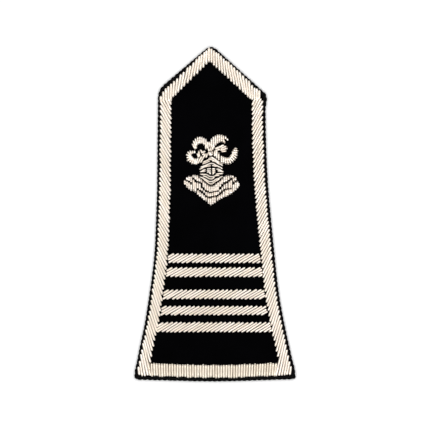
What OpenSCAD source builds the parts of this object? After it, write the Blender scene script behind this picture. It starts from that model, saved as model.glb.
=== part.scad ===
// Shoulder board: a stiff five-sided board faced with velvet, edged with cord and worked with
// a padded bullion border, five rank bars and a plumed helm over a gorget.
// It lies on its back. +Z is out of the face, +Y towards the point, +X to the viewer's right.

/* [Board] */
// Sideways place of the point
point_x = -1.7; // [-3:0.1:3]
// Height of the point above the middle, before its tip is rounded
point_y = 71.4; // [69:0.1:74]
// Height at which the left shoulder turns, before it is rounded
shoulder_left_y = 52.2; // [49:0.1:54]
// Height at which the right shoulder turns, before it is rounded
shoulder_right_y = 50.2; // [49:0.1:54]
// How far the middle of the foot bows out past its corners
foot_bow = 1.5; // [0:0.1:4]
// Thickness of the stiff board
board_t = 1.8; // [1.2:0.1:3]
// Thickness of the velvet on the face
face_t = 1.2; // [1:0.1:2]

/* [Edge cord] */
// Thickness of the cord
cord_d = 1.3; // [1:0.1:1.6]
// How much the cord swells where it turns a corner
cord_swell = 0.35; // [0:0.05:0.5]
// Sides of the cord's section
cord_sides = 8; // [6:1:10]

/* [Border] */
// Width of the band down the left side
side_left_w = 4.4; // [3:0.1:5]
// Width of the band down the right side
side_right_w = 4.4; // [3:0.1:5]
// Width of the band left of the point
peak_left_w = 4.4; // [3:0.1:5]
// Width of the band right of the point
peak_right_w = 5.0; // [3:0.1:5]
// Width of the band across the foot
foot_w = 5.3; // [4:0.1:6]
// Height of the border above the velvet
border_rise = 1.8; // [1.2:0.1:2.5]

/* [Rank bars] */
// Width of each bar
bar_w = 4.0; // [3:0.1:4.5]
// Height of each bar above the velvet
bar_rise = 1.7; // [1.2:0.1:2.5]

/* [Emblem] */
// Sideways place of the middle of the helm
emblem_x = -1.8; // [-4:0.1:2]
// Height of the middle of the helm
emblem_y = 18.9; // [10:0.1:22]
// Height of the plumes above the velvet
plume_rise = 2.4; // [1.5:0.1:3]
// Height of the helm above the velvet
helm_rise = 3.2; // [2:0.1:4]
// Height of the gorget's plates above the velvet
gorget_rise = 2.3; // [1.5:0.1:3]

/* [Hidden] */

cloth = "#08080a";
silver = "#e9ddcd";

face_z = board_t + face_t;
gap = 0.06;
// How far the cord's top lies below the velvet
cord_sunk = 0.4;
// How far from a corner the border's outer edge starts to round, and each step of its inner edge there
corner_round = 1.8;
corner_step = 0.5;
curve_steps = 4;
profile_steps = 6;
// Part of a pad's rise that its edges already have
edge_part = 0.45;

// The five edges of the board, clockwise from the point
PEAK_RIGHT = 0;
SIDE_RIGHT = 1;
FOOT = 2;
SIDE_LEFT = 3;
PEAK_LEFT = 4;

// Black edge that shows outside the border, a row for each edge: [at its start, at its end]
edge_show = [[0.7, 0.7], [1.4, 1.4], [1.8, 1.8], [1.25, 1.25], [2.2, 0.6]];
// The border's width, rows as above
border_w = [for (w = [peak_right_w, side_right_w, foot_w, side_left_w, peak_left_w]) [w, w]];

// The two long sides, a row for each section: [height, left edge, right edge]
sides = [
    [ 44.0, -24.2, 21.2],
    [ 26.0, -24.4, 21.5],
    [ 10.0, -24.5, 22.4],
    [ -4.0, -25.0, 23.7],
    [-16.0, -25.5, 24.9],
    [-26.0, -26.6, 25.9],
    [-36.0, -28.1, 27.2],
    [-46.0, -29.6, 29.1],
    [-57.0, -32.1, 31.5],
];
// The foot's two corners: [left edge, right edge] and [left height, right height]
foot_x = [-34.3, 34.3];
foot_y = [-69.4, -69.2];

// How far from a corner its rounding starts, at most half way to the next corner
point_bend = 2.6;
shoulder_left_bend = 3.0;
shoulder_right_bend = 1.2;
foot_bend = 1.6;
side_bend = 50;

// Corners of the outer edge, clockwise: [x, y, bend, edge that follows]
outer_edge = concat(
    [[point_x, point_y, point_bend, PEAK_RIGHT]],
    [[sides[0][2], shoulder_right_y, shoulder_right_bend, SIDE_RIGHT]],
    [for (s = sides) [s[2], s[0], side_bend, SIDE_RIGHT]],
    [[foot_x[1], foot_y[1], foot_bend, FOOT]],
    [[(foot_x[0] + foot_x[1]) / 2, (foot_y[0] + foot_y[1]) / 2 - foot_bow, side_bend, FOOT]],
    [[foot_x[0], foot_y[0], foot_bend, SIDE_LEFT]],
    [for (i = [len(sides) - 1 : -1 : 0]) [sides[i][1], sides[i][0], side_bend, SIDE_LEFT]],
    [[sides[0][1], shoulder_left_y, shoulder_left_bend, PEAK_LEFT]]
);

// Where the cord lumps at a corner: [x, y]
lumps = [[sides[0][2], shoulder_right_y - 1], [foot_x[0], foot_y[0]], [foot_x[1], foot_y[1]]];
// How far a lump reaches along the cord
lump_reach = 2.2;

// Rank bars, from the point to the foot: height of each bar's middle
bar_y = [-18.6, -24.4, -33.7, -40.5, -47.5];
// Space between a bar's ends and the border
bar_clear = 0.15;

// Plumes, a row for each section along the middle line: [x, y, width], from the helm's middle
plume_rows = [
    ["upper_left", [[-1.8, 8.4, 0.8], [-1.7, 10.1, 1.8], [-2.9, 11.7, 2.8], [-4.7, 12.2, 3.2],
                    [-6.4, 11.4, 2.9], [-7.0, 9.8, 2.1], [-6.5, 8.4, 1.2]]],
    ["inner_left", [[-5.3, 5.3, 1.3], [-5.0, 6.8, 1.5], [-3.9, 7.4, 1.6], [-2.9, 7.1, 1.3]]],
    ["lower_left", [[-6.7, 6.9, 1.2], [-8.0, 7.2, 1.7], [-9.3, 6.4, 2.1], [-9.5, 4.9, 2.5],
                    [-8.3, 3.5, 2.6], [-6.3, 3.1, 2.4], [-4.5, 3.8, 2.0], [-2.8, 5.1, 1.6],
                    [-1.5, 6.5, 1.0]]],
    ["upper_right", [[-0.3, 7.5, 1.5], [0.2, 9.5, 2.6], [1.2, 11.8, 3.3], [3.5, 13.2, 3.2],
                     [5.6, 12.5, 2.7], [6.9, 11.3, 1.8]]],
    ["inner_right", [[1.9, 7.5, 1.4], [2.9, 8.7, 2.4], [4.7, 8.8, 3.0], [6.7, 8.1, 2.2]]],
    ["root_right", [[-0.8, 6.7, 1.0], [0.4, 5.2, 1.3], [1.8, 3.9, 1.3], [3.3, 2.9, 1.0]]],
    ["lower_right", [[1.7, 6.5, 1.3], [3.4, 4.9, 2.1], [5.3, 3.5, 2.5], [7.7, 3.2, 2.7],
                     [9.5, 4.6, 2.8], [10.2, 6.7, 2.8], [10.0, 8.6, 1.7]]],
];

// The helm, a row for each section from low to high: [y, left, right, part of the rise]
helm_rows = [
    ["chin", [[-6.6, -0.5, 0.7, 0.6], [-6.0, -1.3, 1.6, 0.75], [-5.2, -2.4, 2.7, 0.85],
              [-4.4, -3.4, 3.6, 0.9], [-3.6, -4.2, 4.3, 0.9], [-2.95, -4.6, 4.9, 0.9]]],
    ["visor", [[-2.7, -4.5, 5.2, 0.95], [-0.9, -4.6, 5.4, 1.0], [0.6, -4.6, 5.1, 0.95]]],
    ["crown", [[0.85, -4.6, 5.1, 0.9], [1.7, -4.5, 4.7, 0.9], [2.3, -4.2, 2.9, 0.85],
               [3.4, -3.0, 0.9, 0.8], [4.6, -2.0, -0.9, 0.6]]],
];

// Width of the seams between the gorget's plates
seam = 0.32;
// The gorget's plates between the middles of their seams, a row for each section from left to
// right: [upper x, upper y, lower x, lower y], from the helm's middle
gorget_rows = [
    ["collar", [[-6.9, -2.2, -8.0, -2.8], [-5.5, -2.5, -7.4, -3.9], [-4.5, -3.7, -6.6, -5.0],
                [-2.6, -5.2, -4.1, -6.2], [-1.8, -5.7, -3.9, -7.5], [-0.3, -6.8, -0.9, -9.7],
                [0.5, -6.8, 0.6, -9.7], [2.4, -5.6, 3.4, -8.9], [4.5, -3.8, 5.2, -6.4],
                [6.7, -2.5, 7.4, -5.0], [9.2, -2.8, 9.2, -3.5]]],
    ["breast", [[-9.7, -3.1, -10.4, -4.2], [-8.6, -2.8, -9.4, -5.2], [-7.4, -3.9, -7.9, -6.5],
                [-6.9, -4.7, -7.6, -8.9], [-6.4, -5.2, -6.3, -9.8], [-5.6, -5.3, -5.7, -8.5],
                [-4.1, -6.5, -4.3, -9.4], [-3.8, -7.6, -3.5, -9.9], [-1.8, -9.3, -1.6, -11.8],
                [-0.7, -9.8, -0.6, -12.0], [3.2, -9.0, 2.8, -11.2], [4.2, -7.8, 4.6, -9.7],
                [5.7, -6.0, 6.3, -8.5], [7.7, -4.7, 8.7, -8.1], [8.4, -3.9, 9.0, -6.3],
                [10.2, -3.1, 10.7, -5.0]]],
    ["hem", [[-11.0, -4.6, -11.3, -5.7], [-10.2, -4.7, -10.8, -7.3], [-8.2, -6.0, -8.6, -9.3],
             [-7.6, -9.2, -7.4, -10.2], [-6.3, -10.0, -6.5, -10.9], [-5.7, -8.7, -5.5, -11.3],
             [-3.6, -9.9, -3.6, -12.9], [-1.6, -11.8, -1.6, -14.2], [-0.6, -12.0, -0.8, -15.0],
             [0.5, -11.7, 0.5, -15.2], [2.7, -11.2, 2.7, -13.7], [4.6, -9.8, 5.0, -12.3],
             [6.3, -8.6, 7.2, -11.5], [8.7, -8.1, 9.5, -10.0], [9.1, -6.3, 10.5, -9.2],
             [9.8, -5.7, 11.4, -8.1], [11.4, -5.2, 11.8, -5.8]]],
];

function unit(v) = v / norm(v);
function flat(p) = [p[0], p[1]];
function right_of(v) = unit([v[1], -v[0]]);
function row_of(name, table) = [for (entry = table) if (entry[0] == name) entry[1]][0];

// A corner moved inwards by one reach from the edge before it and another from the edge after
function inset_corner(n1, n2, d1, d2) =
    let (c = n1 * n2)
    d1 == d2
        ? (n1 + n2) * d1 / (1 + c)
        : (n1 * (d1 - c * d2) + n2 * (d2 - c * d1)) / (1 - c * c);

// The outer edge moved inwards, with a reach for the start and the end of each of the five edges
function inset_edge(reach) =
    let (n = len(outer_edge))
    [for (i = [0 : n - 1])
        let (before = outer_edge[(i + n - 1) % n],
             here = outer_edge[i],
             after = outer_edge[(i + 1) % n],
             p = flat(here) + inset_corner(right_of(flat(here) - flat(before)),
                                           right_of(flat(after) - flat(here)),
                                           reach[before[3]][1], reach[here[3]][0]))
        [p[0], p[1], here[2], here[3]]];

// The curve that rounds corner b, from its start at a distance before b to its end after b
function bend(a, b, c, before, after) =
    let (p = b + (a - b) * before, q = b + (c - b) * after)
    [for (i = [0 : curve_steps])
        let (s = i / curve_steps)
        p * (1 - s) * (1 - s) + b * 2 * s * (1 - s) + q * s * s];

function bend_part(row, other) = min(0.5, row[2] / norm(flat(other) - flat(row)));

function distinct(points) =
    let (n = len(points))
    [for (i = [0 : n - 1]) if (norm(points[i] - points[(i + n - 1) % n]) > 0.01) points[i]];

// A closed line round the board, at one reach inside its outer edge
function ring(reach) =
    let (rows = inset_edge([for (i = [0 : 4]) [reach, reach]]), n = len(rows))
    distinct([for (i = [0 : n - 1])
        let (a = rows[(i + n - 1) % n], b = rows[i], c = rows[(i + 1) % n])
        each bend(flat(a), flat(b), flat(c), bend_part(b, a), bend_part(b, c))]);

// An open smooth line through the middle of its rows, which keeps its two ends
function smooth_line(rows) =
    let (n = len(rows))
    n < 3 ? rows : concat(
        [rows[0]],
        [for (i = [1 : n - 2])
            let (curve = bend(rows[i - 1], rows[i], rows[i + 1], 0.5, 0.5))
            for (k = [(i == 1 ? 0 : 1) : curve_steps]) curve[k]],
        [rows[n - 1]]);

// The part of an inset edge that runs along one of the five edges, both corners included
function along(rows, edge) =
    let (n = len(rows), on = [for (i = [0 : n - 1]) if (rows[i][3] == edge) i])
    [for (i = concat(on, [(on[len(on) - 1] + 1) % n])) flat(rows[i])];

// Where a line that runs down the board passes a height
function x_at(line, y) =
    [for (i = [0 : len(line) - 2])
        let (a = line[i], b = line[i + 1])
        if ((a[1] - y) * (b[1] - y) <= 0 && a[1] != b[1])
            a[0] + (b[0] - a[0]) * (y - a[1]) / (b[1] - a[1])][0];

// Stations of a pad along its middle line. A station is [left edge, right edge, rise]
function stations(rows, rise) =
    let (line = smooth_line(rows), n = len(line), widest = max([for (r = line) r[2]]))
    [for (i = [0 : n - 1])
        let (way = flat(line[min(i + 1, n - 1)]) - flat(line[max(i - 1, 0)]),
             side = right_of(way) * line[i][2] / 2)
        [flat(line[i]) - side, flat(line[i]) + side, rise * sqrt(line[i][2] / widest)]];

// A padded form with a flat bottom on the velvet and a rounded top, through its stations
module pad(list) {
    across = profile_steps + 2;
    last = len(list) - 1;
    points = [for (s = list)
        each concat(
            [[s[0][0], s[0][1], face_z]],
            [for (k = [0 : profile_steps])
                let (turn = 180 * k / profile_steps,
                     p = s[0] + (s[1] - s[0]) * (1 - cos(turn)) / 2,
                     z = edge_part + (1 - edge_part) * sin(turn))
                [p[0], p[1], face_z + s[2] * z]],
            [[s[1][0], s[1][1], face_z]])];
    ring_size = across + 1;
    walls = [for (i = [0 : last - 1], k = [0 : across])
        let (a = i * ring_size + k,
             b = i * ring_size + (k + 1) % ring_size,
             c = a + ring_size,
             d = b + ring_size)
        each [[a, c, d], [a, d, b]]];
    start = [for (k = [0 : across]) k];
    end = [for (k = [across : -1 : 0]) last * ring_size + k];
    polyhedron(points, concat([start], walls, [end]));
}

module board() {
    color(cloth)
        linear_extrude(board_t)
            polygon(ring(cord_d + gap));
}

module face_cloth() {
    color(cloth)
        translate([0, 0, board_t])
            linear_extrude(face_t)
                polygon(ring(cord_d + gap));
}

// Thickness of the cord at one place along it, with the lumps at the corners
function cord_radius(p) =
    cord_d / 2 + cord_swell * max([for (l = lumps) exp(-pow(norm(p - l) / lump_reach, 2))]);

module edge_cord() {
    route = ring(cord_d / 2);
    n = len(route);
    cord_z = face_z - cord_sunk - cord_d / 2;
    points = [for (i = [0 : n - 1])
        let (way = route[(i + 1) % n] - route[(i + n - 1) % n],
             out = -right_of(way),
             r = cord_radius(route[i]),
             swell = r - cord_d / 2)
        for (k = [0 : cord_sides - 1])
            let (turn = 360 * (k + 0.5) / cord_sides,
                 p = route[i] + out * (swell + r * cos(turn)))
            [p[0], p[1], cord_z + r * sin(turn)]];
    walls = [for (i = [0 : n - 1], k = [0 : cord_sides - 1])
        let (a = i * cord_sides + k,
             b = i * cord_sides + (k + 1) % cord_sides,
             c = ((i + 1) % n) * cord_sides + k,
             d = ((i + 1) % n) * cord_sides + (k + 1) % cord_sides)
        each [[a, d, b], [a, c, d]]];
    color(cloth)
        polyhedron(points, walls);
}

// The outer edge's rounded corner, from the mitre to where the band's own straight edge starts
function half_bend(other, corner, own) =
    let (p = corner + unit(other - corner) * corner_round,
         q = corner + unit(own - corner) * corner_round)
    [for (s = [0.5, 0.75, 1]) p * (1 - s) * (1 - s) + corner * 2 * s * (1 - s) + q * s * s];

// The three stations at one end of a band, from its mitre inwards
function band_end(curve, corner, way) =
    [for (k = [0 : 2])
        [curve[k] + way * gap, corner + way * (gap + k * corner_step), border_rise]];

// One side of the border, from mitre to mitre
module border(edge) {
    rows = inset_edge(edge_show);
    n = len(rows);
    on = [for (i = [0 : n - 1]) if (rows[i][3] == edge) i];
    before = flat(rows[(on[0] + n - 1) % n]);
    after = flat(rows[(on[len(on) - 1] + 2) % n]);
    outside = smooth_line(along(rows, edge));
    inside = smooth_line(along(inset_edge(edge_show + border_w), edge));
    last = len(outside) - 1;
    first_end = band_end(half_bend(before, outside[0], outside[1]), inside[0],
                         unit(outside[1] - outside[0]));
    last_end = band_end(half_bend(after, outside[last], outside[last - 1]), inside[last],
                        unit(outside[last - 1] - outside[last]));
    middle = last < 2 ? [] : [for (i = [1 : last - 1]) [outside[i], inside[i], border_rise]];
    color(silver)
        pad(concat(first_end, middle, [for (k = [2 : -1 : 0]) last_end[k]]));
}

module bar(number) {
    inner = inset_edge(edge_show + border_w);
    left = smooth_line(along(inner, SIDE_LEFT));
    right = smooth_line(along(inner, SIDE_RIGHT));
    top = bar_y[number - 1] + bar_w / 2;
    bottom = bar_y[number - 1] - bar_w / 2;
    color(silver)
        pad([[[x_at(left, top) + bar_clear, top], [x_at(left, bottom) + bar_clear, bottom], bar_rise],
             [[x_at(right, top) - bar_clear, top], [x_at(right, bottom) - bar_clear, bottom], bar_rise]]);
}

module on_emblem() {
    color(silver)
        translate([emblem_x, emblem_y, 0])
            children();
}

module plume(name) {
    on_emblem()
        pad(stations(row_of(name, plume_rows), plume_rise));
}

module helm(name) {
    on_emblem()
        pad([for (r = row_of(name, helm_rows)) [[r[1], r[0]], [r[2], r[0]], helm_rise * r[3]]]);
}

// A section of a plate, short of both its seams by half their width, with its height
function plate_station(row) =
    let (upper = [row[0], row[1]],
         lower = [row[2], row[3]],
         inward = unit(lower - upper) * seam / 2)
    [upper + inward, lower - inward, norm(lower - upper)];

module gorget(name) {
    rows = [for (r = row_of(name, gorget_rows)) plate_station(r)];
    widest = max([for (r = rows) r[2]]);
    on_emblem()
        pad([for (r = rows) [r[0], r[1], gorget_rise * sqrt(r[2] / widest)]]);
}

board();
face_cloth();
edge_cord();
border(SIDE_LEFT);  // border_left
border(SIDE_RIGHT);  // border_right
border(PEAK_LEFT);  // border_peak_left
border(PEAK_RIGHT);  // border_peak_right
border(FOOT);  // border_foot
bar(1);  // bar_1
bar(2);  // bar_2
bar(3);  // bar_3
bar(4);  // bar_4
bar(5);  // bar_5
plume("upper_left");  // plume_upper_left
plume("inner_left");  // plume_inner_left
plume("lower_left");  // plume_lower_left
plume("upper_right");  // plume_upper_right
plume("inner_right");  // plume_inner_right
plume("root_right");  // plume_root_right
plume("lower_right");  // plume_lower_right
helm("crown");  // helm_crown
helm("visor");  // helm_visor
helm("chin");  // helm_chin
gorget("collar");  // gorget_collar
gorget("breast");  // gorget_breast
gorget("hem");  // gorget_hem
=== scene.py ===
import math
import random

import bmesh
import bpy
import numpy as np
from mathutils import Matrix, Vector
from mathutils.bvhtree import BVHTree


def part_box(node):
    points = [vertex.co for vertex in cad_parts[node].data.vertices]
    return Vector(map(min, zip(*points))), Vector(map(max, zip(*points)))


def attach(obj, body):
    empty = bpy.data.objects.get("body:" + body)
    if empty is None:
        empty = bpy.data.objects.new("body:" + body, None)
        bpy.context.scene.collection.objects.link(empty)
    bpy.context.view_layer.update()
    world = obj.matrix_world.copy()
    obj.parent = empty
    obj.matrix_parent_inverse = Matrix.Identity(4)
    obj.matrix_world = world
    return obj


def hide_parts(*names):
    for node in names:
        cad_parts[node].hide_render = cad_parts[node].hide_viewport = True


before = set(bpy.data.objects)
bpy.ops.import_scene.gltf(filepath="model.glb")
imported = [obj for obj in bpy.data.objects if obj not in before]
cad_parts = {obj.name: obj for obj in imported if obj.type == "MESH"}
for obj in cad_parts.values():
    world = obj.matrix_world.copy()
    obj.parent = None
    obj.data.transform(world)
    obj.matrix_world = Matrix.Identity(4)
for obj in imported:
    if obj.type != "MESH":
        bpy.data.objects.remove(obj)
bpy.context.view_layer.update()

# The view: straight down on the face, with the point at the top of the picture.
# The lens is so long that the low relief shows no perspective.
view_width = 0.1806
view_distance = 1.4
view_middle = (-0.0001, -0.0004)
face_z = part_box("face_cloth")[1].z

bpy.ops.object.camera_add(location=(*view_middle, face_z + view_distance), rotation=(0, 0, 0))
camera = bpy.context.object
camera.name = "camera"
camera.data.sensor_width = 36
camera.data.lens = camera.data.sensor_width * view_distance / view_width
camera.data.clip_end = 20
bpy.context.scene.camera = camera


# The board: stiff pasteboard under a plain black cotton cloth, glued flat over its back and edges.
# Its solid is the right shape, so it only gets its weave, drawn at the real thread spacing.
thread_pitch = 0.0006
thread_rise = 0.0001
back_black = "#17171a"


def linear(hexcode):
    """A shader's colour from an sRGB hex value."""
    parts = [int(hexcode[i:i + 2], 16) / 255 for i in (1, 3, 5)]
    return (*[p / 12.92 if p <= 0.04045 else ((p + 0.055) / 1.055) ** 2.4 for p in parts], 1)


def new_material(name, sockets):
    """A material whose main shader has these constant values."""
    made = bpy.data.materials.new(name)
    made.use_nodes = True
    for socket, value in sockets.items():
        made.node_tree.nodes["Principled BSDF"].inputs[socket].default_value = value
    return made


def add(made, kind, sockets, **settings):
    """Adds a node to a material: numbers are set on its sockets and other nodes' outputs are linked."""
    node = made.node_tree.nodes.new(kind)
    for name, value in settings.items():
        setattr(node, name, value)
    for socket, value in sockets.items():
        if isinstance(value, bpy.types.NodeSocket):
            made.node_tree.links.new(value, node.inputs[socket])
        else:
            node.inputs[socket].default_value = value
    return node


def finish_surface(made, sockets):
    """Links outputs to the main shader's sockets."""
    for socket, output in sockets.items():
        made.node_tree.links.new(output, made.node_tree.nodes["Principled BSDF"].inputs[socket])


def band_scale(pitch):
    """The scale at which a wave texture repeats once in this many metres."""
    return math.tau / 20 / pitch


# Black woven cotton: matt, its threads standing up one by one so that low light finds the weave.
back_cloth = new_material("black cotton, plain weave", {"Base Color": linear(back_black), "Roughness": 0.85})
place = add(back_cloth, "ShaderNodeTexCoord", {}).outputs["Object"]
warp = add(back_cloth, "ShaderNodeTexWave", {"Vector": place, "Scale": band_scale(thread_pitch)},
           bands_direction="X")
weft = add(back_cloth, "ShaderNodeTexWave", {"Vector": place, "Scale": band_scale(thread_pitch)},
           bands_direction="Y")
weave = add(back_cloth, "ShaderNodeMath", {0: warp.outputs["Fac"], 1: weft.outputs["Fac"]},
            operation="MULTIPLY")
threads = add(back_cloth, "ShaderNodeBump", {"Height": weave.outputs[0], "Distance": thread_rise})
finish_surface(back_cloth, {"Normal": threads.outputs[0]})

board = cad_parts["board"]
for slot in board.material_slots:
    slot.material = back_cloth


# The face: black rayon velvet, drawn tight over the board and held by the stitches of every band.
# It keeps its solid's outline, with a soft edge, and is pulled down a little beside the bullion.
velvet_edge = 0.0005
velvet_segments = 3
velvet_grid = 0.0021
weld = 1e-6
on_face = 1e-5
pull_depth = 0.00018
pull_reach = 0.0016
pile_length = 0.00025
pile_patch = 0.012
tuft_size = 0.0005
pile_black = "#010101"
pile_worn = "#030304"
pile_bloom = "#8a8a9a"


def solids(*names):
    """The faces of the named solids, in one tree to measure from."""
    corners, faces = [], []
    for name in names:
        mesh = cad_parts[name].data
        faces += [[len(corners) + i for i in face.vertices] for face in mesh.polygons]
        corners += [corner.co.copy() for corner in mesh.vertices]
    return BVHTree.FromPolygons(corners, faces)


def select_edges(piece, wanted):
    """In edit mode, selects the edges whose two ends pass the test."""
    bpy.ops.mesh.select_mode(type="EDGE")
    bpy.ops.mesh.select_all(action="DESELECT")
    mesh = bmesh.from_edit_mesh(piece.data)
    for edge in mesh.edges:
        edge.select = wanted(edge.verts[0].co, edge.verts[1].co)
    mesh.select_flush_mode()
    bmesh.update_edit_mesh(piece.data)


def take_copy(node, name):
    """A copy of a solid's mesh as a new object, selected alone."""
    bpy.ops.object.select_all(action="DESELECT")
    piece = bpy.data.objects.new(name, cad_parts[node].data.copy())
    bpy.context.collection.objects.link(piece)
    piece.select_set(True)
    bpy.context.view_layer.objects.active = piece
    return piece


padding = [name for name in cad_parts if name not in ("board", "face_cloth", "edge_cord")]
pads = solids(*padding)
velvet = take_copy("face_cloth", "velvet")
bpy.ops.object.mode_set(mode="EDIT")
bpy.ops.mesh.select_all(action="SELECT")
bpy.ops.mesh.remove_doubles(threshold=weld)
bpy.ops.mesh.dissolve_limited(angle_limit=math.radians(1))
select_edges(velvet, lambda a, b: min(a.z, b.z) > face_z - weld)
bpy.ops.mesh.bevel(offset=velvet_edge, segments=velvet_segments, affect="EDGES")
low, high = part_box("face_cloth")
for axis in (0, 1):
    for k in range(1, math.ceil((high[axis] - low[axis]) / velvet_grid)):
        cut = [0, 0, 0]
        cut[axis] = low[axis] + k * velvet_grid
        across = [axis == 0, axis == 1, 0]
        bpy.ops.mesh.select_all(action="SELECT")
        bpy.ops.mesh.bisect(plane_co=cut, plane_no=across)
bpy.ops.object.mode_set(mode="OBJECT")
for corner in velvet.data.vertices:
    if corner.co.z > face_z - on_face:
        gap = pads.find_nearest(corner.co)[3]
        corner.co.z -= pull_depth * math.exp(-(gap / pull_reach) ** 2)
bpy.ops.object.shade_smooth_by_angle(angle=math.radians(50))

# Rayon velvet: upright pile that swallows light from above and shows a faint bloom at low angles.
# Where the pile lies over a little, patches of it look a shade greyer.
velvet_pile = new_material("black rayon velvet, woven pile", {
    "Roughness": 1, "Specular IOR Level": 0.0,
    "Sheen Weight": 0.01, "Sheen Roughness": 0.3, "Sheen Tint": linear(pile_bloom)})
place = add(velvet_pile, "ShaderNodeTexCoord", {}).outputs["Object"]
lie = add(velvet_pile, "ShaderNodeTexNoise", {"Vector": place, "Scale": 1 / pile_patch, "Detail": 3})
tufts = add(velvet_pile, "ShaderNodeTexNoise", {"Vector": place, "Scale": 1 / tuft_size, "Detail": 2})
shade = add(velvet_pile, "ShaderNodeMix", {
    "Factor": lie.outputs["Fac"], 6: linear(pile_black), 7: linear(pile_worn)}, data_type="RGBA")
nap = add(velvet_pile, "ShaderNodeBump", {"Height": tufts.outputs["Fac"], "Distance": pile_length})
finish_surface(velvet_pile, {"Base Color": shade.outputs[2], "Normal": nap.outputs[0]})
velvet.data.materials.clear()
velvet.data.materials.append(velvet_pile)
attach(velvet, "root")
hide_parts("face_cloth")


# The edge cord: two black rayon strands laid round each other and a core, sewn along the whole edge.
# It follows its solid, with the same swellings at the corners, where tucked-in ends fill the strands
# out, and its core is pulled in against the velvet all round.
cord_lay = 0.0042
strand_part = 0.64
strand_swing = 0.46
core_part = 0.85
core_tuck = 0.00025
strand_steps = 12
lump_fill = 0.4
ring_samples = 1440
turn_samples = 3
fibre_size = 0.00035
fibre_rise = 0.00012
cord_black = "#030303"

cord_solid, velvet_solid = solids("edge_cord"), solids("face_cloth")
cord_low, cord_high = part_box("edge_cord")
cord_z = (cord_low.z + cord_high.z) / 2
ring = []
for k in range(ring_samples):
    turn = math.tau * k / ring_samples
    outward = Vector((math.cos(turn), math.sin(turn), 0))
    inner = cord_solid.ray_cast(Vector((0, 0, cord_z)), outward)[0]
    outer = cord_solid.ray_cast(outward + Vector((0, 0, cord_z)), -outward)[0]
    middle = (inner + outer) / 2
    top = cord_solid.ray_cast(middle + Vector((0, 0, 1)), Vector((0, 0, -1)))[0]
    ring.append([*middle, top.z - cord_z])
ring = np.array(ring + ring[:1])
run = np.concatenate([[0], np.cumsum(np.linalg.norm(np.diff(ring[:, :2], axis=0), axis=1))])
turns = round(run[-1] / cord_lay)
steps = turns * strand_steps
along = np.linspace(0, run[-1], steps, endpoint=False)
cord_line = np.stack([np.interp(along, run, ring[:, i]) for i in range(4)], axis=1)
cord_line[:, 3] *= 1 + lump_fill * (cord_line[:, 3] / np.median(cord_line[:, 3]) - 1)
heading = np.roll(cord_line[:, :2], -turn_samples, axis=0) - np.roll(cord_line[:, :2], turn_samples, axis=0)
heading /= np.linalg.norm(heading, axis=1)[:, None]
strands = []
laid = ((0, strand_part, strand_swing), (0.5, strand_part, strand_swing), (0, core_part, 0))
for start, part, swing in laid:
    curve = bpy.data.curves.new("cord strand", "CURVE")
    curve.dimensions = "3D"
    curve.bevel_depth = 1
    curve.bevel_resolution = 2
    spline = curve.splines.new("POLY")
    spline.points.add(steps - 1)
    spline.use_cyclic_u = True
    for k, (x, y, z, radius) in enumerate(cord_line):
        turn = math.tau * (turns * k / steps + start)
        aside = math.cos(turn) * swing * radius
        if swing == 0:
            aside -= max(0, velvet_solid.find_nearest((x, y, z))[3] + core_tuck - part * radius)
        spline.points[k].co = (x + heading[k, 1] * aside, y - heading[k, 0] * aside,
                               z + math.sin(turn) * swing * radius, 1)
        spline.points[k].radius = radius * part
    piece = bpy.data.objects.new("cord_strand", curve)
    bpy.context.collection.objects.link(piece)
    strands.append(piece)
bpy.ops.object.select_all(action="DESELECT")
for piece in strands:
    piece.select_set(True)
bpy.context.view_layer.objects.active = strands[0]
bpy.ops.object.convert(target="MESH")
bpy.ops.object.join()
cord = bpy.context.object
cord.name = "twisted_cord"
bpy.ops.object.shade_smooth()

# Twisted rayon: dense black filament, a little glossier than the velvet, so its turns catch the light.
cord_rayon = new_material("black rayon, twisted filament", {
    "Base Color": linear(cord_black), "Roughness": 0.65, "Specular IOR Level": 0.03})
place = add(cord_rayon, "ShaderNodeTexCoord", {}).outputs["Object"]
fibres = add(cord_rayon, "ShaderNodeTexNoise", {"Vector": place, "Scale": 1 / fibre_size, "Detail": 2})
fuzz = add(cord_rayon, "ShaderNodeBump", {"Height": fibres.outputs["Fac"], "Distance": fibre_rise})
finish_surface(cord_rayon, {"Normal": fuzz.outputs[0]})
cord.data.materials.clear()
cord.data.materials.append(cord_rayon)
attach(cord, "root")
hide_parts("edge_cord")


# The border: bullion purls, short tubes of close-coiled silvered wire, sewn side by side over
# cotton padding. They lean as the rows say, and each ends where its padding ends, a little raggedly.
purl_d = 0.00099
purl_length = 0.006
purl_sides = 8
purl_joints = 4
purl_round = 0.3 * purl_d
bridge = 0.00025
lowest_lay = 0.8
coil_pitch = 0.00045
coil_rise = 0.00006
purl_ragged = 0.0002
purl_trim = 0.00015
purl_sink = 0.0003
sink_power = 6
purl_lift = 0.00005
purl_spread = (0.95, 1.03)
lean_spread = 1.2
row_samples = 1500
least_crossing = 0.2
probe_step = 0.0001
above = 0.05
border_roughness = 0.58
# Each area's tones: a pale and a warm colour for the purls' tops, then a darker colour that is painted shade
# on their sides.
side_tones = ("#f3ebe2", "#eae0d3", "#57483a")
# The peak's and the foot's copies of the same wire are painted a shade greyer and darker than the side
# bands', as painted shade that takes down the stronger highlights their purls catch.
peak_tones = ("#eee7dd", "#e8ded2", "#7d6f60")
foot_tones = ("#e4dccf", "#ddd3c4", "#7a6a58")
mm = 0.001
far = 9.0


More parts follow.
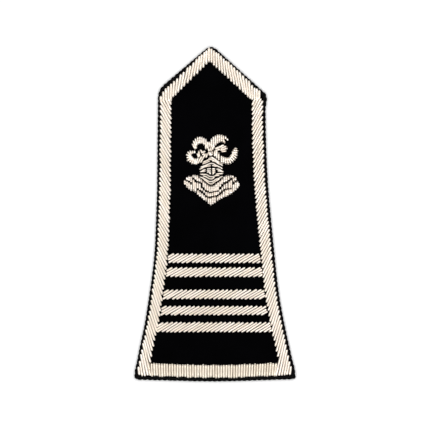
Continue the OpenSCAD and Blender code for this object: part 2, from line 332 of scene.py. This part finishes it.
def model_purl(joints):
    """One straight purl with rounded ends, which bends at its joints."""
    bpy.ops.object.select_all(action="DESELECT")
    bpy.ops.mesh.primitive_cylinder_add(vertices=purl_sides, radius=purl_d / 2, depth=purl_length,
                                        rotation=(0, math.pi / 2, 0))
    bpy.ops.object.transform_apply(rotation=True)
    purl = bpy.context.object
    bpy.ops.object.mode_set(mode="EDIT")
    select_edges(purl, lambda a, b: abs(a.x - b.x) < 1e-6)
    bpy.ops.mesh.bevel(offset=purl_round, segments=2, affect="EDGES")
    select_edges(purl, lambda a, b: abs(a.x - b.x) > purl_length / 2)
    bpy.ops.mesh.subdivide(number_cuts=joints)
    bpy.ops.object.mode_set(mode="OBJECT")
    bpy.ops.object.shade_smooth()
    for name in ("coil", "tone", "crown"):
        purl.data.attributes.new(name, "FLOAT", "POINT")
    # crown: how far up round the tube each point lies, 1 on top; the material paints shade on the sides by
    # it.
    purl.data.attributes["crown"].data.foreach_set(
        "value", [corner.co.z / (purl_d / 2) for corner in purl.data.vertices])
    bpy.context.collection.objects.unlink(purl)
    return purl


def top_of_padding(x, y, width):
    """How high the bullion reaches over a point of the face. Narrow gaps in the padding are bridged."""
    highest = face_z + width * lowest_lay
    for aside, up in ((0, 0), (bridge, 0), (-bridge, 0), (0, bridge), (0, -bridge)):
        hit = pads.ray_cast(Vector((x + aside, y + up, face_z + above)), Vector((0, 0, -1)))[0]
        highest = max(highest, hit.z) if hit else highest
    return highest


def lay_purl(purl, path, width, chance):
    """A copy of a purl, laid over the padding along a path of points on the face."""
    purl_shape = np.array([corner.co for corner in purl.data.vertices])
    path = np.array(path, float)
    reach = np.concatenate([[0], np.cumsum(np.linalg.norm(np.diff(path, axis=0), axis=1))])
    length = reach[-1]
    end = purl_length / 2 - purl_round
    side = np.sign(purl_shape[:, 0])
    at = purl_shape[:, 0]
    at = np.where(abs(at) < end, at * (length / 2 - purl_round) / end,
                  at + side * (length - purl_length) / 2)
    rings, ring_of = np.unique((at + length / 2).round(6), return_inverse=True)
    line = np.stack([np.interp(rings, reach, path[:, 0]), np.interp(rings, reach, path[:, 1])], axis=1)
    dip = purl_sink * abs(2 * rings / length - 1) ** sink_power
    lift = chance.uniform(-purl_lift, purl_lift)
    height = np.array([top_of_padding(x, y, width) for x, y in line]) - width / 2 - dip + lift
    heading = np.gradient(np.column_stack([line, height]), rings, axis=0)
    heading /= np.linalg.norm(heading, axis=1)[:, None]
    aside = np.column_stack([-heading[:, 1], heading[:, 0], np.zeros(len(rings))])
    aside /= np.linalg.norm(aside, axis=1)[:, None]
    upward = np.cross(heading, aside)
    middle = np.column_stack([line, height])[ring_of]
    scale = width / purl_d * chance.uniform(*purl_spread)
    sideways = aside[ring_of] * purl_shape[:, 1:2] * scale
    placed = middle + sideways + upward[ring_of] * purl_shape[:, 2:3] * scale
    copy = bpy.data.objects.new("purl", purl.data.copy())
    copy.data.vertices.foreach_set("co", placed.ravel())
    copy.data.attributes["coil"].data.foreach_set("value", at + length / 2)
    copy.data.attributes["tone"].data.foreach_set("value", [chance.random()] * len(at))
    bpy.context.collection.objects.link(copy)
    return copy


def sew(purls, node, made):
    """Joins the purls of one worked area into a piece that stands for its solid."""
    bpy.ops.object.select_all(action="DESELECT")
    for copy in purls:
        copy.select_set(True)
    bpy.context.view_layer.objects.active = purls[0]
    bpy.ops.object.join()
    piece = bpy.context.object
    piece.name = f"{node}_purls"
    piece.data.materials.clear()
    piece.data.materials.append(made)
    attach(piece, "root")
    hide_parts(node)
    return piece


def run_of_padding(tree, x, y, lean, limit):
    """How far a purl can run from a point before the padding ends."""
    across = Vector((math.cos(lean), math.sin(lean), 0)) * probe_step
    start = Vector((x, y, face_z + above))
    k = 0
    while k * probe_step < limit and any(
            tree.ray_cast(start + across * (k + ahead), Vector((0, 0, -1)))[0] for ahead in (0, 3)):
        k += 1
    return k * probe_step


border_purl = model_purl(purl_joints)


def work_row(tree, rows, width, pitch, chance, trim=purl_trim):
    """Lays purls side by side along a row of points, each as far as the padding and the row allow."""
    rows = np.array(rows, float)
    rows[:, [0, 1, 3, 4]] *= mm
    reach = np.concatenate([[0], np.cumsum(np.linalg.norm(np.diff(rows[:, :2], axis=0), axis=1))])
    places = np.linspace(0, reach[-1], row_samples)
    line = np.stack([np.interp(places, reach, rows[:, i]) for i in range(5)], axis=1)
    heading = np.arctan2(np.diff(line[:, 1]), np.diff(line[:, 0]))
    crossing = np.maximum(least_crossing, abs(np.sin(heading - np.radians(line[1:, 2]))))
    crossed = np.concatenate([[0], np.cumsum(crossing * np.diff(places))])
    made = []
    for at in np.arange(pitch / 2, crossed[-1], pitch):
        x, y, lean, back, ahead = [np.interp(at, crossed, line[:, i]) for i in range(5)]
        lean = math.radians(lean + chance.uniform(-lean_spread, lean_spread))
        low = run_of_padding(tree, x, y, lean + math.pi, back)
        high = run_of_padding(tree, x, y, lean, ahead)
        low += chance.uniform(-purl_ragged, purl_ragged) - trim
        high += chance.uniform(-purl_ragged, purl_ragged) - trim
        if low + high > width:
            step = np.array([math.cos(lean), math.sin(lean)])
            middle = np.array([x, y])
            made.append(lay_purl(border_purl, [middle - step * low, middle + step * high], width, chance))
    return made


# Silvered bullion wire: pale ivory metal whose fine coils scatter the light into a soft satin.
# The coils are drawn about twice as coarse as the real wire, so that they show at all.
def bullion(name, roughness, tones):
    """A bullion material, its purls each between a pale and a warm tone, with painted shade darkening their
    sides into the grooves between purls.
    """
    # side is the colour of the painted shade on the purls' sides, in the grooves between neighbours.
    pale, warm, side = [linear(tone) for tone in tones]
    made = new_material(name, {"Metallic": 1, "Roughness": roughness})
    tone = add(made, "ShaderNodeAttribute", {}, attribute_name="tone")
    coil = add(made, "ShaderNodeAttribute", {}, attribute_name="coil")
    phase = add(made, "ShaderNodeMath", {0: coil.outputs["Fac"], 1: math.tau / coil_pitch},
                operation="MULTIPLY")
    rib = add(made, "ShaderNodeMath", {0: phase.outputs[0]}, operation="SINE")
    ribs = add(made, "ShaderNodeBump", {"Height": rib.outputs[0], "Distance": coil_rise})
    top = add(made, "ShaderNodeMix", {"Factor": tone.outputs["Fac"], 6: pale, 7: warm}, data_type="RGBA")
    # Painted shade: away from each crown the purl is painted in the side colour, standing in for the shade
    # in the grooves between purls.
    crown = add(made, "ShaderNodeAttribute", {}, attribute_name="crown")
    groove_shade = add(made, "ShaderNodeMapRange", {"Value": crown.outputs["Fac"], "From Min": 0.0, "From Max": 0.6},
               interpolation_type="SMOOTHSTEP")
    colour = add(made, "ShaderNodeMix", {"Factor": groove_shade.outputs[0], 6: side, 7: top.outputs[2]},
                 data_type="RGBA")
    finish_surface(made, {"Base Color": colour.outputs[2], "Normal": ribs.outputs[0]})
    return made


side_bullion = bullion("silvered bullion wire, smooth purl, sides", border_roughness, side_tones)
peak_bullion = bullion("silvered bullion wire, smooth purl, peak", border_roughness, peak_tones)
foot_bullion = bullion("silvered bullion wire, smooth purl, foot", border_roughness, foot_tones)
border_pads = solids("border_left", "border_right", "border_peak_left", "border_peak_right", "border_foot")

# Columns: x, y, lean from the right in degrees, and how far a purl may run back and ahead of the row.
border_rows = {
    "border_peak_left": [
        [-2.1, 66.4, 90, far, 3.3], [-4.5, 64.2, 86, far, 4.7], [-8.0, 61.1, 80, far, far],
        [-12.7, 56.9, 78, far, far], [-16.5, 53.5, 82, far, far], [-18.2, 52.1, 88, 5.2, far],
        [-18.9, 51.5, 90, 4.0, far], [-21.3, 49.9, 91, 2.3, far], [-23.1, 48.6, 92, 1.1, far]],
    "border_peak_right": [
        [-2.08, 67.0, 90, far, 2.6], [1.5, 64.3, 94, far, 2.9], [5.5, 60.6, 99, far, 3.1],
        [10.0, 56.4, 101, far, far], [13.5, 53.2, 97, far, far], [14.6, 52.2, 94, far, far],
        [15.3, 51.6, 91, 3.6, 2.5], [17.5, 50.3, 90, 2.2, 2.1], [19.2, 49.5, 89, 1.3, 1.6]],
    "border_left": [
        [-18.6, 47.3, 114, far, 1.0], [-19.5, 46.6, 116, far, 1.9], [-20.6, 44.7, 119, far, 4.0],
        [-20.8, 40.0, 120, far, 8.9], [-20.9, 26.0, 120, far, far], [-21.2, 10.0, 120, far, far],
        [-21.7, -4.0, 120, far, far], [-22.1, -16.0, 117, far, far], [-23.1, -26.0, 112, far, far],
        [-24.4, -36.0, 109, far, far], [-26.1, -46.0, 108, far, far], [-28.3, -57.0, 106, far, far],
        [-29.4, -61.7, 102, far, far], [-30.8, -64.9, 99, far, far], [-32.9, -67.4, 96, far, far]],
    "border_right": [
        [14.7, 47.6, 66, far, 0.8], [16.4, 46.9, 63, far, 1.7], [17.4, 45.0, 61, far, 4.0],
        [17.7, 40.8, 61, far, 8.8], [17.7, 26.0, 61, far, far], [18.6, 10.0, 61, far, far],
        [19.8, -4.0, 61, far, far], [21.0, -16.0, 62, far, far], [22.1, -26.0, 65, far, far],
        [23.6, -36.0, 69, far, far], [25.3, -46.0, 72, far, far], [27.8, -57.0, 76, 13.0, far],
        [29.9, -61.7, 78, 13.0, far], [30.9, -64.5, 80, far, far], [32.4, -66.2, 83, far, far]],
    "border_foot": [
        [-28.3, -65.0, 101, 0.6, 2.5], [-27.6, -65.0, 99, 0.6, 2.6], [-27.2, -65.0, 95, far, 2.8],
        [-25.0, -65.2, 93, far, 3.1], [-20.0, -65.4, 91, far, far],
        [-15.0, -65.6, 90, far, far], [0.0, -65.9, 90, far, far], [15.0, -65.5, 88, far, far],
        [21.0, -65.1, 87, far, far], [24.0, -64.9, 85, far, 3.0], [26.1, -64.7, 81, far, 2.6]],
}

# Columns: the spacing of the purls and their width, which is more where they are pressed together.
border_sizes = {"border_peak_left": (1.06, 1.14), "border_peak_right": (1.00, 1.07),
                "border_left": (1.02, 1.07), "border_right": (1.02, 1.05), "border_foot": (1.08, 1.13)}
for node, rows in border_rows.items():
    chance = random.Random(node)
    pitch, width = [size * mm for size in border_sizes[node]]
    made = peak_bullion if "peak" in node else foot_bullion if node == "border_foot" else side_bullion
    sew(work_row(border_pads, rows, width, pitch, chance), node, made)


# The rank bars: five padded rows of the same purl, all rising to the right as a rope's strands do.
# Each is filled from its upper left corner to its lower right one, right up to the side bands.
bar_d = 0.00093
bar_pitch = 0.00099

# Columns: the purls' lean from the right in degrees, and how far they stop short of the padding's edge.
bar_rows = {"bar_1": (30.0, 0.42), "bar_2": (29.0, 0.3), "bar_3": (31.0, 0.32), "bar_4": (29.5, 0.5),
            "bar_5": (32.0, 0.12)}
# Tones as for the border: the third colour is painted shade on the purls' sides.
bar_tones = ("#f7eee6", "#efe4d7", "#4d3f32")
bar_roughness = 0.55
bar_bullion = bullion("silvered bullion wire, smooth purl, bars", bar_roughness, bar_tones)
for node, (lean, trim) in bar_rows.items():
    low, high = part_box(node)
    rows = [[low.x / mm, high.y / mm, lean, far, far], [high.x / mm, low.y / mm, lean, far, far]]
    chance = random.Random(node)
    purls = work_row(solids(node), rows, bar_d, bar_pitch, chance, trim * mm)
    sew(purls, node, bar_bullion)


# The plumes: finer purl worked over curling pads, fanned out round each bend and ragged at the ends.
# Rows are as for the border, measured from the helm's middle.
plume_d = 0.00086
plume_pitch = 0.00083
helm_middle = (-1.8, 18.9)

plume_rows = {
    "plume_upper_left": [[
        [-0.9, 10.6, 87, far, far], [-1.9, 11.0, 90, far, far], [-2.9, 11.4, 90, far, far],
        [-4.6, 11.8, 91, far, far], [-5.5, 11.7, 96, far, far], [-6.2, 11.3, 104, far, far],
        [-6.8, 10.7, 112, far, far], [-7.4, 10.1, 118, far, far], [-7.9, 9.6, 120, far, far]]],
    "plume_lower_left": [[
        [-6.4, 6.8, 98, far, far], [-8.0, 7.2, 100, far, far], [-9.1, 6.7, 118, far, far],
        [-9.5, 5.8, 150, far, far], [-9.5, 4.9, 180, far, far], [-9.0, 4.0, 212, far, far],
        [-7.9, 3.2, 248, far, far], [-6.3, 3.2, 256, far, far], [-4.5, 3.8, 240, far, far],
        [-2.8, 5.1, 240, far, far], [-1.5, 6.4, 252, far, far]]],
    "plume_upper_right": [
        [[-0.9, 10.2, 98, 1.2, far], [-0.5, 10.4, 96, 1.3, far], [0.3, 10.9, 93, 1.8, far],
         [1.0, 11.2, 92, 2.1, far], [1.9, 12.0, 91, far, far], [3.2, 12.7, 90, far, far],
         [4.2, 13.0, 90, far, far], [5.6, 12.9, 90, far, far]],
        [[-1.3, 8.0, 108, far, 1.1], [-0.2, 8.4, 106, far, 0.9], [1.1, 8.9, 104, far, 0.5]],
        [[5.1, 11.6, 112, far, 0.6], [6.3, 11.3, 112, far, 0.6], [7.5, 11.0, 108, far, 0.6]]],
    "plume_inner_right": [
        [[3.1, 10.4, 25, far, 1.3], [2.7, 9.2, 24, far, 1.6], [2.7, 8.3, 22, far, 1.6],
         [2.3, 7.2, 22, far, 1.7]],
        [[5.2, 10.4, 24, 1.5, far], [5.5, 9.0, 20, 1.6, far], [5.5, 8.1, 12, 1.6, far],
         [5.6, 7.1, 6, 1.7, far]]],
    "plume_lower_right": [[
        [4.0, 4.4, 92, far, far], [5.3, 3.5, 93, far, far], [6.6, 3.4, 98, far, far],
        [7.7, 3.6, 110, far, far], [8.8, 4.4, 130, far, far], [9.7, 5.5, 150, far, far],
        [10.1, 6.7, 170, far, far], [10.0, 8.6, 176, far, far]]],
}
# Places worked as small fields: how many purls, then the lines that all of them pass, one after
# another. A line's points run from the first purl's place on it to the last one's.
plume_fields = {
    "plume_inner_left": [
        (2, [[-5.7, 6.5], [-5.1, 7.5]], [[-5.2, 5.0], [-4.9, 5.2]]),
        (1, [[-4.4, 7.9]], [[-3.9, 7.4]]),
        (2, [[-4.1, 6.8], [-3.6, 5.9]], [[-2.5, 7.4], [-2.6, 6.7]])],
    "plume_upper_right": [
        (1, [[6.1, 13.8]], [[6.2, 12.6]]),
        (1, [[6.8, 12.7]], [[7.1, 12.1]])],
    "plume_root_right": [
        (3, [[-1.0, 7.2], [-0.2, 7.3], [0.5, 7.4]], [[-0.5, 5.8], [0.0, 5.6], [0.6, 5.9]]),
        (2, [[-0.7, 4.9], [-1.0, 4.2]], [[0.6, 4.8], [0.5, 4.1]], [[2.0, 3.7], [1.8, 3.2]],
            [[3.6, 2.6], [3.2, 2.5]])],
    "plume_lower_right": [
        (3, [[1.6, 7.7], [2.4, 7.7], [3.3, 7.0]], [[1.6, 5.2], [2.4, 4.3], [3.3, 3.6]])],
}


def bent(path):
    """A path with its corners cut twice, so that it bends gently."""
    for _ in range(2):
        path = np.array(path)
        cut = [share * path[:-1] + (1 - share) * path[1:] for share in (0.75, 0.25)]
        path = [path[0], *np.stack(cut, axis=1).reshape(-1, 2), path[-1]]
    return path


def gap_beside(line, place, width, seam):
    """How far a purl stops short of a seam's middle, which is further where the seam slopes."""
    if seam == 0:
        return 0
    across, up = np.gradient(np.array(line), axis=0).T
    slope = abs(np.interp(place, range(len(line)), up / across))
    return seam / 2 * math.hypot(1, slope) + slope * width / 4


def work_field(purl, parts, width, chance, seams=(0, 0)):
    """Lays the purls of small fields, each through its own place on every line, up to its end seams."""
    made = []
    for count, *lines in parts:
        for k in range(count):
            path = []
            for line in lines:
                place = k / max(1, count - 1) * (len(line) - 1)
                ragged = chance.uniform(-field_ragged, field_ragged)
                path.append([(np.interp(place, range(len(line)), [point[i] for point in line])
                              + helm_middle[i]) * mm + ragged for i in (0, 1)])
            room = max(0, math.dist(path[0], path[-1]) - width)
            for end, next_to_it, seam in ((0, 1, seams[0]), (-1, -2, seams[1])):
                inward = np.subtract(path[next_to_it], path[end])
                place = k / max(1, count - 1) * (len(lines[end]) - 1)
                short = min(room / 2, gap_beside(lines[end], place, width, seam))
                path[end] = path[end] + inward / np.linalg.norm(inward) * short
            made.append(lay_purl(purl, bent(path), width, chance))
    return made


def from_helm(rows):
    """Rows measured from the board's middle in place of the helm's."""
    return [[x + helm_middle[0], y + helm_middle[1], *rest] for x, y, *rest in rows]


field_ragged = 0.00004
emblem_roughness = 0.5
# Tones as for the border: the third colour is a lighter painted shade on the purls' sides.
emblem_tones = ("#f3ede5", "#e9ded1", "#a99b8d")
emblem_bullion = bullion("silvered bullion wire, fine purl", emblem_roughness, emblem_tones)
for node in sorted({*plume_rows, *plume_fields}):
    chance = random.Random(node)
    purls = work_field(border_purl, plume_fields.get(node, []), plume_d, chance)
    for rows in plume_rows.get(node, []):
        purls += work_row(solids(node), from_helm(rows), plume_d, plume_pitch, chance)
    sew(purls, node, emblem_bullion)


# The helm: the finest purl, worked in level rows, with black seams for its ridge, visor and sights.
helm_d = 0.00064
helm_joints = 15

long_purl = model_purl(helm_joints)

helm_fields = {
    "helm_crown": [
        (2, [[-3.4, 2.8], [-3.6, 2.1]], [[-2.4, 3.2], [-2.4, 2.5]], [[-0.9, 3.9], [-0.5, 3.4]]),
        (1, [[-4.4, 0.8]], [[-3.2, 1.1]], [[-2.4, 1.4]], [[-0.9, 2.1]], [[0.2, 2.4]], [[1.2, 2.1]],
            [[2.5, 1.3]], [[3.4, 1.0]], [[4.8, 0.1]]),
        (1, [[-4.8, -0.1]], [[-3.9, 0.3]], [[-2.4, 1.0]], [[-0.1, 1.4]]),
        (1, [[0.6, 1.4]], [[1.4, 1.3]], [[2.4, 1.1]]),
        (1, [[0.5, 3.4]], [[1.3, 3.3]], [[2.2, 2.8]], [[3.2, 2.1]], [[3.9, 2.0]], [[4.9, 1.3]]),
        (1, [[2.8, 3.1]], [[3.8, 2.7]], [[5.0, 2.1]])],
    "helm_visor": [
        (2, [[-3.7, -0.7], [-4.6, -1.1]], [[-2.3, -0.2], [-2.3, -0.9]]),
        (3, [[-1.6, 0.0], [-1.6, -1.3]], [[-0.1, 0.1], [-0.1, -1.3]]),
        (1, [[-0.7, -1.7]], [[-0.1, -2.0]]),
        (3, [[0.6, 0.1], [0.6, -1.3]], [[1.7, 0.1], [1.8, -1.3]]),
        (1, [[0.6, -2.1]], [[1.2, -1.9]]),
        (2, [[2.4, 0.0], [2.9, -0.8]], [[3.5, -0.2], [4.0, -0.9]], [[4.6, -0.8], [5.3, -1.1]]),
        (1, [[2.1, -2.2]], [[2.9, -2.0]], [[5.0, -1.9]]),
        (1, [[-4.5, -2.2]], [[-2.9, -2.2]], [[-1.6, -2.4]], [[-0.9, -3.0]], [[0.0, -3.3]],
            [[1.1, -3.2]], [[1.9, -2.8]], [[3.5, -2.6]]),
        (1, [[-3.4, -2.9]], [[-2.5, -3.1]], [[-1.4, -3.6]], [[-0.5, -4.2]], [[0.7, -4.1]],
            [[1.4, -3.5]])],
    "helm_chin": [
        (1, [[-4.7, -3.2]], [[-3.4, -3.8]], [[-1.8, -4.6]], [[-0.6, -5.3]], [[1.0, -5.2]],
            [[2.0, -4.2]], [[3.1, -4.1]], [[4.1, -3.3]], [[4.9, -3.1]]),
        (1, [[-3.1, -4.3]], [[-1.8, -5.2]], [[-0.7, -6.1]], [[0.1, -6.3]], [[1.1, -5.8]],
            [[2.2, -4.9]], [[3.0, -4.6]], [[3.6, -4.0]])],
}
for node, parts in helm_fields.items():
    chance = random.Random(node)
    sew(work_field(long_purl, parts, helm_d, chance), node, emblem_bullion)


# The gorget: three plates round the neck, in thicker upright purl, with black seams between them.
gorget_d = 0.00094
# Tones as for the border: the third colour is painted shade on the purls' sides.
gorget_tones = ("#ebe4dc", "#e1d6ca", "#9c8e80")
gorget_seam = 0.00054
gorget_hem_seam = 0.00036

# The lines lie in the middles of the seams, and the purls stop short of them.
gorget_fields = {
    "gorget_collar": [
        (5, [[-7.6, -2.4], [-6.7, -2.3], [-5.8, -2.3], [-4.9, -3.3], [-4.0, -4.0]],
            [[-7.3, -3.9], [-6.5, -4.9], [-5.7, -5.4], [-4.8, -5.6], [-4.0, -6.0]]),
        (8, [[-3.1, -4.8], [-2.3, -5.4], [-1.4, -6.1], [-0.5, -6.8], [0.4, -6.9], [1.3, -6.5], [2.1, -5.8],
             [3.0, -5.1]],
            [[-3.1, -8.2], [-2.3, -9.1], [-1.4, -9.4], [-0.5, -9.8], [0.4, -9.8], [1.3, -9.5], [2.1, -9.4],
             [3.0, -9.2]]),
        (7, [[3.9, -4.4], [4.7, -3.5], [5.6, -2.8], [6.5, -2.5], [7.4, -2.4], [8.3, -2.4], [9.2, -2.8]],
            [[3.9, -8.2], [4.7, -6.9], [5.6, -6.0], [6.5, -5.6], [7.4, -5.0], [8.3, -4.1], [9.2, -3.6]])],
    "gorget_breast": [
        (3, [[-10.1, -3.4], [-9.2, -2.7], [-8.3, -2.9]], [[-10.0, -4.8], [-9.2, -5.3], [-8.3, -6.0]]),
        (2, [[-7.4, -3.8], [-6.6, -4.9]], [[-7.3, -9.7], [-6.5, -10.2]]),
        (2, [[-5.6, -5.4], [-4.7, -5.7]], [[-5.6, -8.5], [-4.7, -9.1]]),
        (8, [[-3.8, -7.6], [-2.9, -8.5], [-2.0, -9.3], [-1.1, -9.6], [-0.3, -9.9], [0.6, -9.7], [1.5, -9.4],
             [2.3, -9.4]],
            [[-3.8, -9.7], [-2.9, -10.5], [-2.0, -11.4], [-1.1, -11.9], [-0.3, -11.9], [0.6, -11.6],
             [1.5, -11.5], [2.3, -11.3]]),
        (5, [[3.1, -9.2], [3.9, -8.1], [4.8, -6.8], [5.7, -6.0], [6.6, -5.7]],
            [[3.1, -10.9], [3.9, -10.2], [4.8, -9.5], [5.7, -8.7], [6.6, -8.4]]),
        (2, [[7.7, -4.8], [8.5, -4.1]], [[7.7, -8.2], [8.5, -8.1]]),
        (2, [[9.5, -3.4], [10.3, -3.2]], [[9.5, -5.8], [10.3, -5.2]])],
    "gorget_hem": [
        (4, [[-11.0, -4.4], [-10.1, -4.7], [-9.2, -5.3], [-8.3, -5.9]],
            [[-10.9, -7.0], [-10.0, -8.1], [-9.2, -8.8], [-8.3, -9.4]]),
        (5, [[-5.5, -8.5], [-4.6, -9.2], [-3.7, -9.8], [-2.9, -10.6], [-2.0, -11.4]],
            [[-5.5, -11.1], [-4.6, -11.9], [-3.7, -12.7], [-2.9, -13.3], [-2.0, -13.8]]),
        (4, [[-1.0, -12.0], [-0.1, -12.0], [0.8, -11.6], [1.7, -11.5]],
            [[-1.0, -14.8], [-0.1, -15.3], [0.8, -15.0], [1.7, -14.5]]),
        (8, [[2.8, -11.2], [3.6, -10.6], [4.5, -9.9], [5.4, -8.9], [6.3, -8.5], [7.1, -8.4], [8.0, -8.2],
             [8.7, -8.1]],
            [[2.8, -13.7], [3.6, -13.1], [4.5, -12.6], [5.4, -12.1], [6.3, -11.8], [7.1, -11.5],
             [8.0, -11.0], [8.7, -10.5]]),
        (4, [[9.5, -5.9], [10.3, -5.2], [11.1, -4.9], [11.6, -5.4]],
            [[9.5, -9.9], [10.3, -9.3], [11.1, -8.6], [11.6, -7.9]])],
}
gorget_bullion = bullion("silvered bullion wire, smooth purl, gorget", emblem_roughness, gorget_tones)
for node, parts in gorget_fields.items():
    chance = random.Random(node)
    seams = (gorget_seam, gorget_hem_seam if node == "gorget_hem" else gorget_seam)
    purls = work_field(border_purl, parts, gorget_d, chance, seams)
    sew(purls, node, gorget_bullion)


# The floor: plain white studio paper, under soft light from above and all round.
paper_white = "#b9b9b9"
bpy.ops.object.select_all(action="DESELECT")
bpy.ops.mesh.primitive_plane_add(size=6, location=(0, 0, 0))
floor = bpy.context.object
floor.name = "floor"
paper = new_material("white studio paper, matt", {"Base Color": linear(paper_white), "Roughness": 0.9})
floor.data.materials.append(paper)

world = bpy.data.worlds.new("soft white room")
world.use_nodes = True
world.node_tree.nodes["Background"].inputs["Color"].default_value = (1, 1, 1, 1)
world.node_tree.nodes["Background"].inputs["Strength"].default_value = 0.32
bpy.context.scene.world = world
bpy.ops.object.light_add(type="AREA", location=(0, 0, 0.9))
lamp = bpy.context.object
lamp.name = "soft box overhead"
lamp.data.shape = "DISK"
lamp.data.size = 0.9
lamp.data.energy = 19
scene = bpy.context.scene
scene.view_settings.view_transform = "Standard"
scene.view_settings.look = "None"
